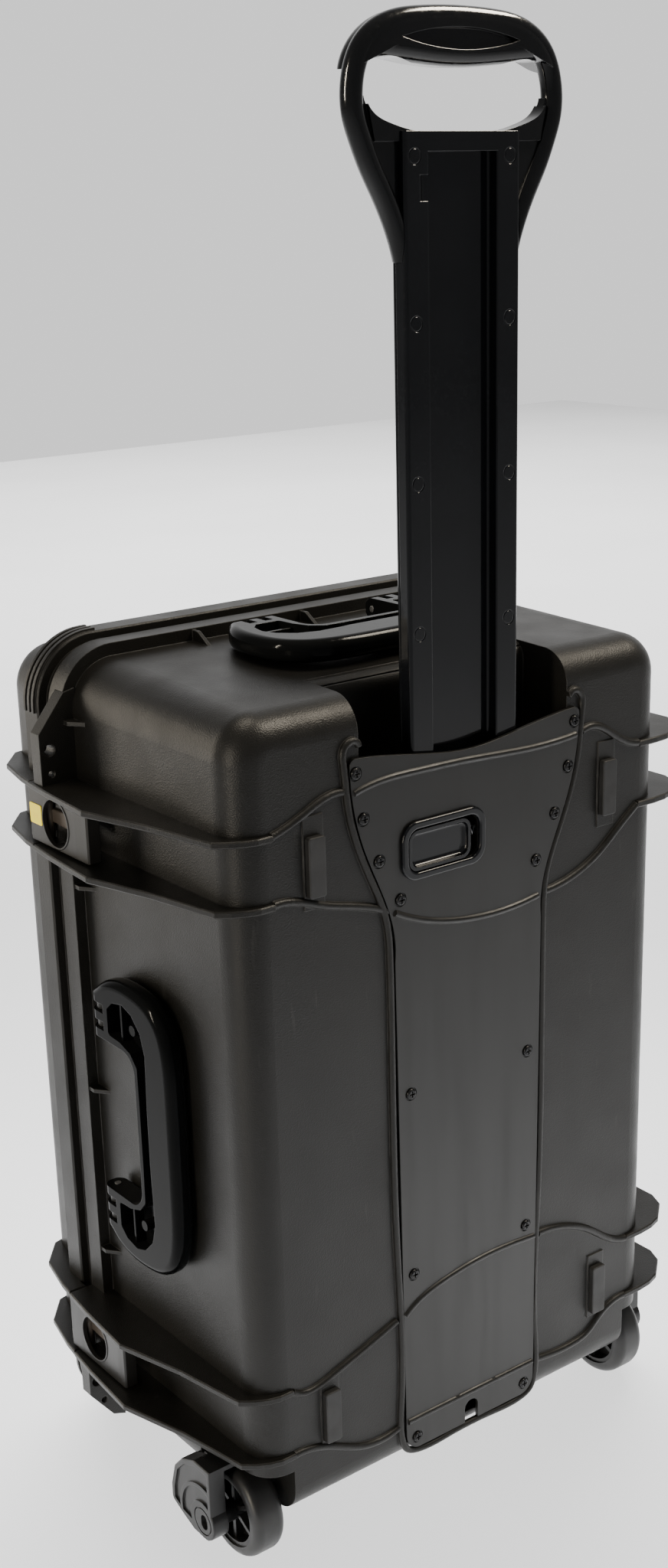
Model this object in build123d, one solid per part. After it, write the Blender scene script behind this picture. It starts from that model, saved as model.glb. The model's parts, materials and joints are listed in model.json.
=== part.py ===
from build123d import *
import math
import os

os.makedirs("parts", exist_ok=True)

# Frame: +X is the latch side, +Y the back face with the pull handle, +Z up from the floor.
# "Depth" is the distance from the back face towards the lid, "level" the height over the shell's underside.

# ---------------------------------------------------------------- driving dimensions, mm
HALF_WIDTH = 200.0        # shell at its back face
SIDE_FLARE = 2.5          # each side wall leans out this much by the parting line
SHELL_HEIGHT = 622.0
TOP_FLARE = 7.5
UNDER_FLARE = 2.0
CORNER = 30.0             # corners of the tub seen from the back
CORNER_FLARE = 6.0
BACK_ROUND = 25.0
WALL = 3.6
UNDERSIDE = 41.0          # floor to the shell's underside
BASE_DEPTH = 219.5
FLANGE_THICK = 18.0
FLANGE_REACH = 9.0
LID_BACK = 220.0
LID_RIM_BACK = 228.5
LID_RIM_FRONT = 249.5
LID_FRONT = 305.0
LID_NECK_REACH = 5.2
LID_RIM_REACH = 13.0
LID_TAPER = 8.0
PROUD = 6.0               # pads and bezel stand this far off the back face

WING_TOPS = (542.7, 494.1, 114.3, 59.4)
WING_THICK = 5.0
WING_TIP = 240.0

GUSSET_LEVELS = (586.8, 460.8, 295.2, 154.8)
TOP_GUSSETS = (94.0, -6.0, -106.0)
GUSSET_THICK = 3.0

WHEEL_RADIUS = 38.25
WHEEL_WIDTH = 27.0
HUB_RADIUS = 29.0
AXLE_RADIUS = 4.0
REAR_WHEEL_X = 191.0
REAR_WHEEL_DEPTH = 43.0
FRONT_WHEEL_X = 156.5
FRONT_WHEEL_DEPTH = 266.0
AXLE_LEVEL = WHEEL_RADIUS - UNDERSIDE
WELL_TOP = 42.0           # level of the wheel wells' ceiling
BOSS_RADIUS = 9.0         # round each axle's fixed end

TUBE_HALF = 49.5
TUBE_BACK = 1.5           # depth of the tube's rear face
TUBE_THICK = 14.0
RAIL_WIDTH = 20.5
RAIL_RAISE = 8.5
TUBE_FOOT = 470.0         # levels, with the handle drawn out
TUBE_HEAD = 978.0
CHANNEL_DEPTH = 47.0
TRACK_DEPTH = 18.5

RELEASE_X = 25.4
RELEASE_LEVEL = 505.0
WINDOW_WIDTH = 66.0
WINDOW_HEIGHT = 32.0

HANDLE_PIN = 2.5
RUN_GAP = 0.06            # radial running clearance
PIN_PITCH = 7.0           # width of one tooth or slot of a handle's comb

HINGE_X = -221.5
HINGE_DEPTH = 224.0
HINGE_PIN = 2.5
LATCH_SPANS = ((496.0, 535.8), (61.2, 107.4))   # levels between each pair of wings, upper and lower

BACK_Y = (LID_FRONT - PROUD) / 2


# ---------------------------------------------------------------- shared helpers
def depth_plane(depth):
    """Plane parallel to the back face; its normal points towards the lid."""
    return Plane.XZ.offset(depth - BACK_Y)


def y_of(depth):
    return BACK_Y - depth


def z_of(level):
    return UNDERSIDE + level


def slab(outline, near, far):
    """Extrude an outline drawn in X and level from one depth to another."""
    return extrude(depth_plane(near) * Pos(0, UNDERSIDE) * outline, amount=far - near)


def shelf(points, bottom, thick):
    """Plate with an outline in X and depth, lying level."""
    outline = make_face(Polyline(*[(x, y_of(d)) for x, d in points], close=True))
    return extrude(Plane.XY.offset(z_of(bottom)) * outline, amount=thick)


def side_face(points):
    """Face in the side view, from points of depth and level."""
    return make_face(Polyline(*[(y_of(d), z_of(level)) for d, level in points], close=True))


def across(outline, x, thick):
    """Plate that stands across X; its outline is a face, or points of depth and level."""
    face = side_face(outline) if isinstance(outline, (list, tuple)) else outline
    return extrude(Plane.YZ.offset(x) * face, amount=thick)


def block(x0, x1, d0, d1, l0, l1):
    """Box from ranges of X, depth and level."""
    size = Box(x1 - x0, d1 - d0, l1 - l0)
    return Pos((x0 + x1) / 2, y_of((d0 + d1) / 2), z_of((l0 + l1) / 2)) * size


def rod_x(radius, x0, x1, depth, level):
    return Pos((x0 + x1) / 2, y_of(depth), z_of(level)) * Rot(0, 90, 0) * Cylinder(radius, x1 - x0)


def rod_y(radius, d0, d1, x, level):
    return Pos(x, y_of((d0 + d1) / 2), z_of(level)) * Rot(90, 0, 0) * Cylinder(radius, d1 - d0)


def rod_z(radius, l0, l1, x, depth):
    return Pos(x, y_of(depth), z_of((l0 + l1) / 2)) * Cylinder(radius, l1 - l0)


def both_sides(shape):
    return shape + mirror(shape, Plane.YZ)


def tub_outline(reach, depth):
    """Rounded rectangle of the tub's wall at a depth, grown by reach."""
    share = min(depth / BASE_DEPTH, 1.0)
    half = HALF_WIDTH + SIDE_FLARE * share + reach
    top = SHELL_HEIGHT + TOP_FLARE * share + reach
    bottom = -UNDER_FLARE * share - reach
    corner = CORNER + CORNER_FLARE * share + reach
    return Pos(0, (top + bottom) / 2) * RectangleRounded(2 * half, top - bottom, corner)


def tub(reach_near, near, reach_far, far, rounding, end):
    """Loft between two depths, rounded at its near (0) or far (-1) end."""
    faces = [
        depth_plane(near) * Pos(0, UNDERSIDE) * tub_outline(reach_near, near),
        depth_plane(far) * Pos(0, UNDERSIDE) * tub_outline(reach_far, far),
    ]
    body = loft(faces)
    ordered = body.faces().sort_by(Axis.Y, reverse=True)
    return fillet(ordered[end].edges(), rounding)


def ring(outer_reach, inner_reach, near, far):
    """Band that follows the parting line."""
    band = tub_outline(outer_reach, BASE_DEPTH) - tub_outline(inner_reach, BASE_DEPTH)
    return slab(band, near, far)


def bead(points, depth, radius):
    """Round bead swept along a smooth line on the back face."""
    path = Spline(*[(x, y_of(depth), z_of(level)) for x, level in points])
    return sweep(Plane(origin=path @ 0, z_dir=path % 0) * Circle(radius), path=path)


def save(shape, node):
    export_step(shape, f"parts/{node}.step")


def save_group(solids, node):
    save(Compound(children=[solid for shape in solids for solid in shape.solids()]), node)


# ---------------------------------------------------------------- pull-handle channel
TRACK_HALF = 52.0
HEAD_HALF = 97.0
CHANNEL_SIDE = (
    (TRACK_HALF, 455.0), (62.0, 474.0), (79.0, 507.0), (90.5, 538.0), (HEAD_HALF, 562.0), (HEAD_HALF, 720.0),
)


def channel(grow):
    """Recess for the tube and the stowed grip: a wide deep head over a narrow shallow track."""
    right = [(x + grow, level - grow) for x, level in CHANNEL_SIDE]
    left = [(-x, level) for x, level in reversed(right)]
    head = slab(make_face(Polyline(*right, *left, close=True)), -20, CHANNEL_DEPTH + grow)
    half = TRACK_HALF + grow
    track = block(-half, half, -20, TRACK_DEPTH + grow, 18 - grow, 470)
    return head + track


def channel_lip():
    """Rounds the edge between the channel's floor and the shell's top."""
    lip = 13.0
    top = SHELL_HEIGHT + TOP_FLARE * CHANNEL_DEPTH / BASE_DEPTH
    corner = block(-HEAD_HALF, HEAD_HALF, CHANNEL_DEPTH - 1, CHANNEL_DEPTH + lip, top - lip, top + 5)
    round_bar = rod_x(lip, -HEAD_HALF, HEAD_HALF, CHANNEL_DEPTH + lip, top - lip)
    return corner - round_bar


# ---------------------------------------------------------------- wings, gussets and webs
NEAR_WING = (
    (172.0, 4.0), (172.0, -3.3), (184.0, -3.3), (193.5, -0.5), (202.5, 4.5), (211.7, 12.0), (223.4, 73.0),
    (WING_TIP, 131.0), (236.0, 189.0), (232.5, BASE_DEPTH), (199.0, BASE_DEPTH), (199.0, 30.0), (180.0, 6.0),
)
FAR_WING = (
    (172.0, 4.0), (172.0, -3.3), (190.0, -3.3), (203.0, -2.0), (215.0, 2.0), (234.0, 18.0), (WING_TIP, 32.0),
    (WING_TIP, 120.0), (233.0, 176.0), (222.0, 194.0), (199.0, 196.0), (199.0, 30.0), (180.0, 6.0),
)
LID_WING = (
    (201.0, 229.0), (216.5, 229.0), (216.5, LID_BACK + 0.5), (232.0, LID_BACK + 0.5), (230.0, 236.0),
    (221.6, 273.0), (202.0, 297.0), (190.0, 300.0), (190.0, 262.0),
)


def wing(points, top, side):
    plate = shelf([(side * x, d) for x, d in points], top - WING_THICK, WING_THICK)
    long_edges = plate.edges().group_by(Axis.Z)
    return chamfer(long_edges[-1] + long_edges[0], 0.9)


def base_core():
    """The base's outer form without its fittings: tub and parting flange."""
    flange = slab(tub_outline(FLANGE_REACH, BASE_DEPTH), BASE_DEPTH - FLANGE_THICK, BASE_DEPTH)
    return tub(0, 0, 0, BASE_DEPTH, BACK_ROUND, 0) + flange


def base_wings():
    near = [wing(NEAR_WING, top, 1) for top in WING_TOPS]
    far = [wing(FAR_WING, top, -1) for top in WING_TOPS]
    return [plate - base_core() for plate in near + far]


def lid_wings():
    return [wing(LID_WING, top, 1) - lid_core() for top in WING_TOPS]


def side_gussets(foot, toe, reach):
    """Thin triangular stiffeners behind a flange, on both sides."""
    inner = HALF_WIDTH - 1.0
    outer = HALF_WIDTH + reach
    outline = [(inner, foot), (outer, foot), (outer, (2 * foot + toe) / 3), (inner, toe)]
    return [both_sides(shelf(outline, level - GUSSET_THICK / 2, GUSSET_THICK)) for level in GUSSET_LEVELS]


def top_gussets(foot, toe, base_level):
    crest = base_level + 7.5
    points = [(foot, base_level - 4), (foot, crest), ((2 * foot + toe) / 3, crest), (toe, base_level - 2)]
    return [across(points, x - GUSSET_THICK / 2, GUSSET_THICK) for x in TOP_GUSSETS]


def base_gussets():
    return side_gussets(BASE_DEPTH - FLANGE_THICK + 1, 180.0, 10.5)


UPPER_WEB = ((200.0, 542.7), (231.5, 542.7), (231.5, 581.0), (209.0, 609.0), (200.0, 611.0))
LOWER_WEB = ((200.0, 54.4), (231.0, 54.4), (231.0, 27.0), (211.0, 1.0), (200.0, -3.0))
WEB_NEAR = 200.0
WEB_FAR = 212.0
LOCK_HOLES = ((4.0, 223.5, 568.5), (2.4, 223.0, 550.5), (4.0, 224.0, 38.0), (2.4, 218.5, 18.0))


def lock_webs():
    """Upright plates beside the flange, each with a padlock hole and a small tie hole."""
    webs = [slab(make_face(Polyline(*web, close=True)), WEB_NEAR, WEB_FAR) for web in (UPPER_WEB, LOWER_WEB)]
    holes = [rod_y(radius, WEB_NEAR - 1, WEB_FAR + 1, x, level) for radius, x, level in LOCK_HOLES]
    plates = []
    for web in webs:
        plate = web - holes
        rims = plate.faces().filter_by(Axis.Y).edges().filter_by(GeomType.CIRCLE)
        plates.append(chamfer(rims, 0.7) - base_core() - base_gussets())
    return plates


# ---------------------------------------------------------------- raised ribs on the back face
RIB_RADIUS = 3.0
SHELL_RIBS = (
    ((172, 541), (159, 545), (143, 552), (126, 559), (112, 560)),
    ((-172, 541), (-159, 544.5), (-143, 554), (-128, 562), (-112, 561)),
    ((172, 492.5), (159, 492), (133, 483.5), (94, 472.5), (75, 465)),
    ((-172, 491.5), (-163, 485), (-150, 475), (-133, 462), (-114, 452), (-73, 443.5)),
    ((172, 111), (160, 106), (132, 111.5), (103, 121), (73, 131.5)),
    ((-172, 111.5), (-163, 113.5), (-152, 119), (-130, 135), (-103, 148), (-73, 153)),
    ((172, 56.8), (162, 56.5), (145, 52), (122, 41), (105, 34.6), (90, 33), (71, 36.5)),
    ((-172, 57), (-159, 56), (-145, 49.4), (-130, 38), (-110, 33.6), (-90, 34), (-71, 36.5)),
)
COVER_RIBS = (
    ((104, 557.5), (80, 562), (50, 562.6), (0, 561.5), (-50, 558.8), (-104, 560.5)),
    ((70, 462.5), (38, 449), (6, 442), (-28, 439.5), (-67, 443)),
    ((66, 134), (57, 140.5), (27, 150.5), (-20, 156), (-66, 154)),
    ((65, 38.4), (20, 38.4), (-20, 38.4), (-65, 38.4)),
)

# ---------------------------------------------------------------- trolley cover
COVER_SIDE = ((107.0, 582.0), (105.0, 550.0), (97.0, 518.0), (84.5, 488.0), (73.5, 459.0), (70.5, 425.0))
COVER_FOOT = ((66.5, 26.0), (54.0, 11.5))
COVER_TOP = ((50.0, 575.0), (0.0, 569.5), (-50.0, 575.0))
COVER_THICK = 3.0
SCREW_SPOTS = (
    (102.2, 571.2), (96.2, 537.7), (83.2, 504.1), (64.8, 471.4), (57.7, 318.1), (57.2, 167.0), (56.1, 21.5),
)
SCREW_SHANK = 2.0
SCREW_HEAD = 4.3
SCREW_SEAT = 0.8 - COVER_THICK   # depth of the face that a screw's head sits on
NOTCH_HALF = 6.8          # open notch in the cover's foot


def mirrored(points):
    return [(-x, level) for x, level in points]


def cover_outline(grow=0.0):
    """The cover seen from the back, with its edge moved out by grow."""
    side = [(x + grow, level) for x, level in COVER_SIDE]
    side[0] = (side[0][0], side[0][1] + grow)
    foot = (COVER_FOOT[0][0] + grow, COVER_FOOT[0][1])
    toe = (COVER_FOOT[1][0] + grow, COVER_FOOT[1][1] - grow)
    top = [(x, level + grow) for x, level in COVER_TOP]
    lines = [
        Spline(side[0], *top, mirrored(side)[0]),
        Spline(*side),
        Spline(*mirrored(side)),
        Line(side[-1], foot),
        Line(mirrored(side)[-1], mirrored([foot])[0]),
        RadiusArc(foot, toe, 14.5),
        RadiusArc(mirrored([foot])[0], mirrored([toe])[0], -14.5),
        Line(toe, mirrored([toe])[0]),
    ]
    outline = make_face(lines)
    top_corners = outline.vertices().sort_by(Axis.Y)[-2:]
    return fillet(top_corners, 5.0 + grow)


def cover_border():
    """Bead on the shell that runs round the cover's sides and foot and hooks over its top corners."""
    gap = 3.4
    side = [(x + gap, level) for x, level in COVER_SIDE[1:]]
    hook = [(97.5, 590.0), (104.5, 594.0), (110.5, 589.5), (111.2, 578.0)]
    foot = [(72.0, 200.0), (70.0, 60.0), (69.9, 25.0), (64.5, 12.5), (53.0, 8.0)]
    right = hook + side + foot
    middle = [(20.0, 8.0), (-20.0, 8.0)]
    return bead(right + middle + mirrored(reversed(right)), -0.9, 2.8)


def release_window():
    return Pos(RELEASE_X, RELEASE_LEVEL) * RectangleRounded(WINDOW_WIDTH, WINDOW_HEIGHT, 9.0)


def trolley_cover():
    plate = slab(cover_outline(), -COVER_THICK, 0)
    notch = block(-NOTCH_HALF, NOTCH_HALF, -10, 5, 0, 24) + rod_y(NOTCH_HALF, -10, 5, 0, 24)
    plate = plate - notch - slab(release_window(), -10, 5)
    ribs = [bead(points, -COVER_THICK + 0.6, 2.6) for points in COVER_RIBS]
    plate = plate + ribs
    sockets = [rod_y(SCREW_HEAD + 0.9, SCREW_SEAT - 6.8, SCREW_SEAT, x, level) for x, level in screw_spots()]
    shanks = [rod_y(SCREW_SHANK, -10, 5, x, level) for x, level in screw_spots()]
    back_of_shell = slab(tub_outline(0, 0), 0, 20)
    return plate - sockets - shanks - back_of_shell


def screw_spots():
    return list(SCREW_SPOTS) + mirrored(SCREW_SPOTS)


def cover_screw(x, level):
    """Button-head screw with a cross slot."""
    head = rod_y(SCREW_HEAD, SCREW_SEAT - 2.4, SCREW_SEAT, x, level)
    head = fillet(head.edges().sort_by(Axis.Y)[-1], 1.5)
    shank = rod_y(SCREW_SHANK, SCREW_SEAT, 12.0, x, level)
    slot_a = block(x - 2.6, x + 2.6, SCREW_SEAT - 3, SCREW_SEAT - 1.2, level - 0.6, level + 0.6)
    slot_b = block(x - 0.6, x + 0.6, SCREW_SEAT - 3, SCREW_SEAT - 1.2, level - 2.6, level + 2.6)
    return head + shank - slot_a - slot_b


def raised_beads():
    """Ribs and the cover's border on the back face, kept clear of the cover itself."""
    clearance = slab(cover_outline(0.4), -20, 0.6)
    beads = [cover_border()] + [bead(points, -0.3, RIB_RADIUS) for points in SHELL_RIBS]
    return [raised - clearance for raised in beads]


# ---------------------------------------------------------------- release slide
BEZEL_WIDTH = 77.4
BEZEL_HEIGHT = 43.5
DISH_WIDTH = 57.0
DISH_HEIGHT = 30.0
DISH_RIM = 2.5
DISH_FACE = -5.0          # depth of the button's outer face
DISH_MIDDLE = RELEASE_X + (WINDOW_WIDTH - DISH_WIDTH) / 2 - 0.5


def release_bezel():
    outer = Pos(RELEASE_X, RELEASE_LEVEL) * RectangleRounded(BEZEL_WIDTH, BEZEL_HEIGHT, 13.5)
    rim = slab(outer - release_window(), -PROUD, -COVER_THICK)
    return fillet(rim.faces().sort_by(Axis.Y)[-1].edges(), 1.6)


def release_button():
    """Finger button that slides in the window, hollowed to a dish."""
    centre = Pos(DISH_MIDDLE, RELEASE_LEVEL)
    plate = slab(centre * RectangleRounded(DISH_WIDTH, DISH_HEIGHT, 8.0), DISH_FACE, 0.8)
    inside = RectangleRounded(DISH_WIDTH - 2 * DISH_RIM, DISH_HEIGHT - 2 * DISH_RIM, 6.0)
    hollow = slab(centre * inside, DISH_FACE - 1.0, -0.8)
    floor_edges = hollow.faces().sort_by(Axis.Y)[0].edges()
    return plate - fillet(floor_edges, 3.5)


def lock_pawl():
    tongue = block(12.0, 28.5, 0.8, 9.4, RELEASE_LEVEL - 6, RELEASE_LEVEL + 6)
    return chamfer(tongue.edges().filter_by(Axis.Z).sort_by(Axis.X)[-2:], 1.5)


# ---------------------------------------------------------------- folding carry handles
HANDLE_THICK = 17.0
HANDLE_REACH = 97.0
SIDE_HANDLE_HALF = 115.0
TOP_HANDLE_HALF = 99.0
HANDLE_AXIS_DEPTH = 165.0
HANDLE_LIFT = 10.0        # hinge axis to the wall beside it


def handle_frame(side):
    """Local x runs from the hinge to the grip, local y along the hinge, local z out of the shell."""
    if side == "side":
        origin = (HALF_WIDTH + SIDE_FLARE * 0.75 + HANDLE_LIFT, y_of(HANDLE_AXIS_DEPTH), z_of(292.0))
        return Plane(origin=origin, x_dir=(0, 1, 0), z_dir=(1, 0, 0))
    origin = (0, y_of(HANDLE_AXIS_DEPTH), z_of(SHELL_HEIGHT + TOP_FLARE * 0.75 + HANDLE_LIFT))
    return Plane(origin=origin, x_dir=(0, 1, 0), z_dir=(0, 0, 1))


def comb_centres(half):
    """Places of the shell's lugs along the hinge, two in each end of the handle."""
    inner = half - 41.5
    return [sign * (inner + step * 2 * PIN_PITCH) for sign in (-1, 1) for step in (0, 1)]


def handle_outline(half):
    side = [
        (2.0, half - 10.0), (16.0, half - 3.0), (34.0, half), (52.0, half - 0.6), (68.0, half - 4.0),
        (80.0, half - 11.0), (88.5, half - 21.0), (93.5, half - 34.0), (96.3, half - 52.0),
        (HANDLE_REACH, half - 75.0),
    ]
    curve = Spline(*side, *[(x, -y) for x, y in reversed(side)])
    lines = Polyline(curve @ 1, (-8.0, 17.0 - half), (-8.0, half - 17.0), curve @ 0)
    return make_face([curve, lines])


def trough(half):
    """Narrow slot down the inner side of the grip that widens into a pocket in each end block."""
    side = [
        (64.5, 25.0), (65.5, half - 66.0), (66.0, half - 46.0), (61.0, half - 30.0), (50.0, half - 19.0),
        (38.0, half - 15.0), (24.0, half - 18.0), (16.0, half - 25.0), (16.0, half - 45.5),
        (32.0, half - 46.5), (46.0, half - 51.0), (54.0, half - 60.0), (54.5, 25.0),
    ]
    outline = make_face(Polyline(*side, *[(x, -y) for x, y in reversed(side)], close=True))
    outline = fillet(outline.vertices().filter_by(lambda v: abs(v.Y) > 26), 3.0)
    return extrude(Pos(0, 0, HANDLE_THICK / 2 + 1) * outline, amount=-12.0)


def trough_ribs(half):
    """Thin wall and screw post inside each pocket."""
    ribs = []
    for side in (-1, 1):
        ribs.append(Pos(31.0, side * (half - 31.0), 1.0) * Box(2.4, 32.0, 9.0))
        ribs.append(Pos(43.0, side * (half - 35.0), 0.0) * Cylinder(4.2, 8.0))
    return ribs


def carry_handle(half):
    gap = half - 52.0
    loop = extrude(handle_outline(half), amount=HANDLE_THICK / 2, both=True)
    rim = loop.faces().filter_by(Axis.Z).edges().filter_by(lambda edge: edge.length > 2 * half)
    loop = fillet(rim, 7.0)
    opening = Pos(18.0, 0) * RectangleRounded(64.0, 2 * gap, 16.0)
    opening = opening + Pos(-5.0, 0) * Rectangle(32.0, 2 * gap)
    loop = loop - extrude(opening, amount=HANDLE_THICK, both=True)
    pocket = trough(half)
    loop = loop - pocket + [(rib & pocket) for rib in trough_ribs(half)]
    barrel = Rot(90, 0, 0) * Cylinder(HANDLE_THICK / 2, 4 * half)
    loop = loop - (Pos(-10, 0) * Box(20, 4 * half, 2 * HANDLE_THICK) - barrel)
    for centre in comb_centres(half):
        loop = loop - Pos(0, centre) * Box(20, PIN_PITCH, 2 * HANDLE_THICK)
    return loop - Rot(90, 0, 0) * Cylinder(HANDLE_PIN + RUN_GAP, 3 * half)


def handle_pins(half):
    """One steel pin through each end of a carry handle."""
    length = 4 * PIN_PITCH + 8.0
    middle = half - 34.5
    return [Pos(0, sign * middle) * Rot(90, 0, 0) * Cylinder(HANDLE_PIN, length) for sign in (-1, 1)]


def handle_lugs(half):
    lug = Rot(90, 0, 0) * Cylinder(6.2, PIN_PITCH - 1.0)
    web = Pos(0, 0, -6.5) * Box(9.0, PIN_PITCH - 1.0, 13.0)
    bore = Rot(90, 0, 0) * Cylinder(HANDLE_PIN, 3 * half)
    return [Pos(0, centre) * (lug + web) - bore for centre in comb_centres(half)]


# ---------------------------------------------------------------- base shell
def wheel_well(grow):
    return block(172 - grow, 280, -40, 84 + grow, -80, WELL_TOP + grow)


def pad_spots():
    return [(sign * 138.0, level) for sign in (-1, 1) for level in (513.0, 77.8)]


def pad_strips():
    """Low flat strips that carry the rest pads between each pair of ribs."""
    strips = []
    for x, level in pad_spots():
        low, high = (482.0, 549.0) if level > 300 else (52.0, 110.0)
        strips.append(block(x - 8.5, x + 8.5, -1.2, 1.0, low, high))
    return strips


def base_knuckles():
    """Barrels on the hinge axis, each on an arm from the flange."""
    parts = []
    for low, high in hinge_spans("base"):
        barrel = rod_z(6.0, low, high, HINGE_X, HINGE_DEPTH)
        neck = block(HINGE_X - 6.0, HINGE_X + 6.0, 213.0, HINGE_DEPTH, low, high)
        arm = block(HINGE_X - 6.0, -208.0, 205.0, BASE_DEPTH, low, high)
        parts.append(barrel + neck + arm)
    return parts


def hinge_spans(which):
    """Levels of the knuckles: outer pair on the base, middle one on the lid."""
    spans = []
    for low, high in LATCH_SPANS:
        third = (high - low) / 3
        if which == "base":
            spans += [(low, low + third - 0.4), (high - third + 0.4, high)]
        else:
            spans.append((low + third, high - third))
    return spans


def screw_bosses():
    """Short posts inside the shell that take the cover's screws."""
    return [rod_y(4.6, WALL - 1, 15.0, x, level) for x, level in screw_spots()]


def rear_axle_bosses():
    return both_sides(rod_x(BOSS_RADIUS, 160.0, 173.0, REAR_WHEEL_DEPTH, AXLE_LEVEL))


def base_shell():
    outer = base_core() + base_gussets()
    outer = outer + top_gussets(BASE_DEPTH - FLANGE_THICK + 1, 180.0, SHELL_HEIGHT + TOP_FLARE)
    hollow = tub(-WALL, WALL, -WALL, BASE_DEPTH + 1, BACK_ROUND - WALL, 0)
    hollow = hollow - channel(WALL) - both_sides(wheel_well(WALL))
    shell = outer - hollow
    shell = shell + ring(2.2, 0.2, BASE_DEPTH - 1, BASE_DEPTH + 2.3)
    shell = shell + pad_strips() + raised_beads()
    shell = shell - channel(0) - channel_lip() - both_sides(wheel_well(0))
    shell = shell + screw_bosses()
    shell = shell - [rod_y(SCREW_SHANK, -10, 12.0, x, level) for x, level in screw_spots()]
    shell = shell + rear_axle_bosses()
    axle_hole = rod_x(AXLE_RADIUS, 163.0, 176.0, REAR_WHEEL_DEPTH, AXLE_LEVEL)
    shell = shell - both_sides(axle_hole)
    for half, side in ((SIDE_HANDLE_HALF, "side"), (TOP_HANDLE_HALF, "top")):
        shell = shell + [handle_frame(side) * lug for lug in handle_lugs(half)]
    shell = shell + base_knuckles()
    return shell - rod_z(HINGE_PIN, -20, 600, HINGE_X, HINGE_DEPTH)


# ---------------------------------------------------------------- lid
LID_ROUND = 20.0
BUMPER_LENGTH = 54.0
FRONT_WELL_X = (138.5, 174.0)
LATCH_PIVOT_X = 220.5
LATCH_PIVOT_DEPTH = 234.0
LATCH_PIN = 1.8
LATCH_EAR = 4.0
EAR_THICK = 5.5
EAR_INSET = 3.1           # an ear's outer face to the wing beside it


def front_well(grow):
    low, high = FRONT_WELL_X
    return block(low - grow, high + grow, 226 - grow, 330, -80, WELL_TOP + grow)


def lid_dome(reach, front, rounding):
    near = depth_plane(LID_RIM_FRONT - 3) * Pos(0, UNDERSIDE) * tub_outline(2.0 + reach, BASE_DEPTH)
    far = depth_plane(front) * Pos(0, UNDERSIDE) * tub_outline(2.0 + reach - LID_TAPER, BASE_DEPTH)
    dome = loft([near, far])
    return fillet(dome.faces().sort_by(Axis.Y)[0].edges(), rounding)


def corner_bumpers():
    """Three raised bars round each corner of the lid's rim."""
    bars = []
    for depth in (231.6, 237.6, 243.6):
        bars.append(ring(LID_RIM_REACH + 1.8, LID_RIM_REACH - 1.0, depth, depth + 3.0))
    span = 2 * (HALF_WIDTH + SIDE_FLARE + LID_RIM_REACH)
    top = SHELL_HEIGHT + TOP_FLARE + LID_RIM_REACH
    cut_wide = block(-span, span, 225, 255, BUMPER_LENGTH, top - BUMPER_LENGTH)
    cut_tall = block(BUMPER_LENGTH - span / 2, span / 2 - BUMPER_LENGTH, 225, 255, -60, top + 60)
    return [bar - cut_wide - cut_tall for bar in bars]


def latch_ears():
    """Ears on the lid's rim that hold each latch's pivot pin."""
    ears = []
    near = LATCH_PIVOT_DEPTH - LATCH_EAR
    far = LATCH_PIVOT_DEPTH + LATCH_EAR
    for low, high in LATCH_SPANS:
        for start in (low + EAR_INSET, high - EAR_INSET - EAR_THICK):
            end = start + EAR_THICK
            ears.append(block(212.0, LATCH_PIVOT_X, near, far, start, end))
            ears.append(rod_z(LATCH_EAR, start, end, LATCH_PIVOT_X, LATCH_PIVOT_DEPTH))
    return ears


def front_axle_bosses():
    bosses = []
    near = FRONT_WHEEL_DEPTH - BOSS_RADIUS
    far = FRONT_WHEEL_DEPTH + BOSS_RADIUS
    for low, high in ((130.0, FRONT_WELL_X[0] + 0.5), (FRONT_WELL_X[1] - 0.5, 182.0)):
        bosses.append(rod_x(BOSS_RADIUS, low, high, FRONT_WHEEL_DEPTH, AXLE_LEVEL))
        bosses.append(block(low, high, near, far, AXLE_LEVEL, 14.0))
    return [both_sides(boss) for boss in bosses]


def lid_core():
    """The lid's outer form without its fittings: neck, rim and dome."""
    neck = slab(tub_outline(LID_NECK_REACH, BASE_DEPTH), LID_BACK, LID_RIM_BACK + 1)
    rim = slab(tub_outline(LID_RIM_REACH, BASE_DEPTH), LID_RIM_BACK, LID_RIM_FRONT)
    rim_ends = rim.faces().filter_by(Axis.Y)
    return neck + chamfer(rim_ends.edges(), 1.2) + lid_dome(0, LID_FRONT, LID_ROUND)


def lid_shell():
    outer = lid_core() + corner_bumpers()
    outer = outer + side_gussets(LID_RIM_FRONT - 1, 271.0, 11.5)
    outer = outer + top_gussets(LID_RIM_FRONT - 1, 271.0, SHELL_HEIGHT + TOP_FLARE + 1.5)
    outer = outer + latch_ears()
    for low, high in hinge_spans("lid"):
        arm = block(HINGE_X, -206.0, HINGE_DEPTH, LID_RIM_FRONT - 2, low, high)
        outer = outer + rod_z(6.0, low, high, HINGE_X, HINGE_DEPTH) + arm
    outer = outer + front_axle_bosses()
    hollow = slab(tub_outline(-WALL, BASE_DEPTH), LID_BACK - 1, LID_RIM_FRONT)
    hollow = hollow + lid_dome(-WALL - 2.0, LID_FRONT - WALL, LID_ROUND - WALL)
    hollow = hollow - both_sides(front_well(WALL))
    lid = outer - hollow - both_sides(front_well(0))
    lid = lid - ring(3.2, -0.8, LID_BACK - 1, LID_BACK + 6)
    lid = lid + front_axle_bosses()
    lid = lid - both_sides(block(*FRONT_WELL_X, 226, 330, -80, 0))
    lid = lid - both_sides(front_axle())
    lid = lid - rod_z(HINGE_PIN + RUN_GAP, -20, 600, HINGE_X, HINGE_DEPTH)
    return lid - rod_z(LATCH_PIN, -20, 600, LATCH_PIVOT_X, LATCH_PIVOT_DEPTH)


def hinge_pin(index):
    low, high = LATCH_SPANS[index]
    return rod_z(HINGE_PIN, low - 0.6, high + 0.6, HINGE_X, HINGE_DEPTH)


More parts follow.
